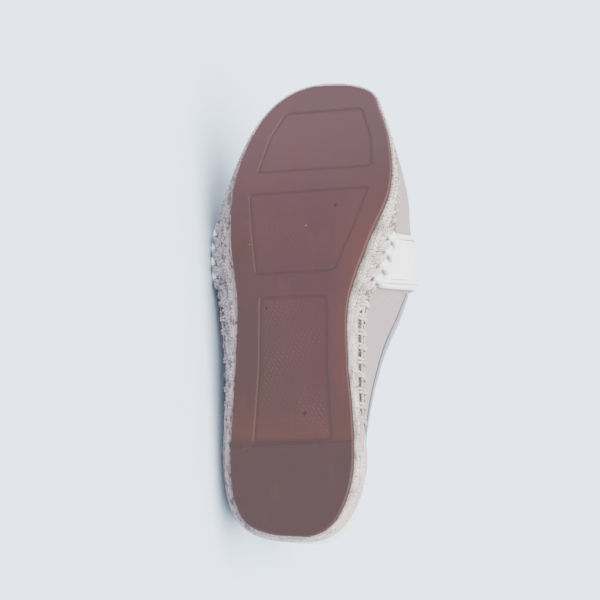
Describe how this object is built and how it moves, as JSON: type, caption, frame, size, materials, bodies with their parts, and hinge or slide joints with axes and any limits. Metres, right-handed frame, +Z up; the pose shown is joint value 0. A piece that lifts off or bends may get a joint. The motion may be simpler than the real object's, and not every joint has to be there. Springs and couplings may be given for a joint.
{
  "type": "espadrille",
  "caption": "Slip-on espadrille lying on its outer side: thin rubber tread, wide jute sole with a sewn braid, hollow canvas upper and a leather band over the instep.",
  "frame": {"origin": "centre of the shoe's bounding box, on the floor it lies on", "axes": "+X towards the heel, +Y the way the collar opens with the tread at -Y, +Z up from the floor towards the shoe's inner side"},
  "size_m": [0.2576, 0.0804, 0.1109],
  "materials": {
    "rubber": "satin mauve brown",
    "jute": "coarse pale jute",
    "canvas": "off-white woven cloth",
    "leather": "smooth off-white",
    "lining": "grey cloth"
  },
  "bodies": {
    "root": {"outsole": "rubber", "midsole": "jute", "seam_braid": "jute", "insole": "lining", "upper": "canvas", "instep_band": "leather", "heel_counter": "leather", "collar_binding": "leather"}
  },
  "joints": []
}
